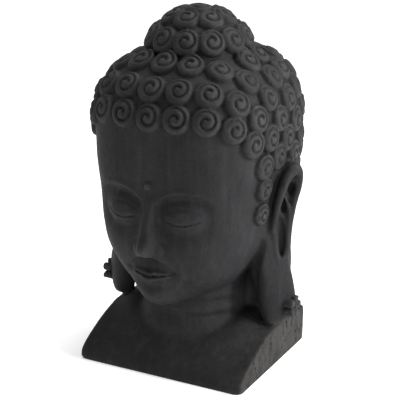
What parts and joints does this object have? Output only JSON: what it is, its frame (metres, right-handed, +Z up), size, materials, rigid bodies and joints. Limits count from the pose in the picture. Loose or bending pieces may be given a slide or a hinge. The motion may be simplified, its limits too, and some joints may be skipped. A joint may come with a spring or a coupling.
{
  "type": "stone buddha head",
  "caption": "Cast stone buddha head with a calm face, rows of snail-shell curls, a topknot and long ears, on a neck that widens into a flat-bottomed block.",
  "frame": {"origin": "on the flat underside that the head stands on, below the neck", "axes": "+Z up through the topknot, the face looks along -Y, +X towards the statue's own left ear"},
  "size_m": [0.3176, 0.3233, 0.5059],
  "materials": {
    "cast_stone": "matte charcoal grey, slightly worn lighter on raised edges"
  },
  "bodies": {
    "root": {"buddha_head": "cast_stone"}
  },
  "joints": []
}
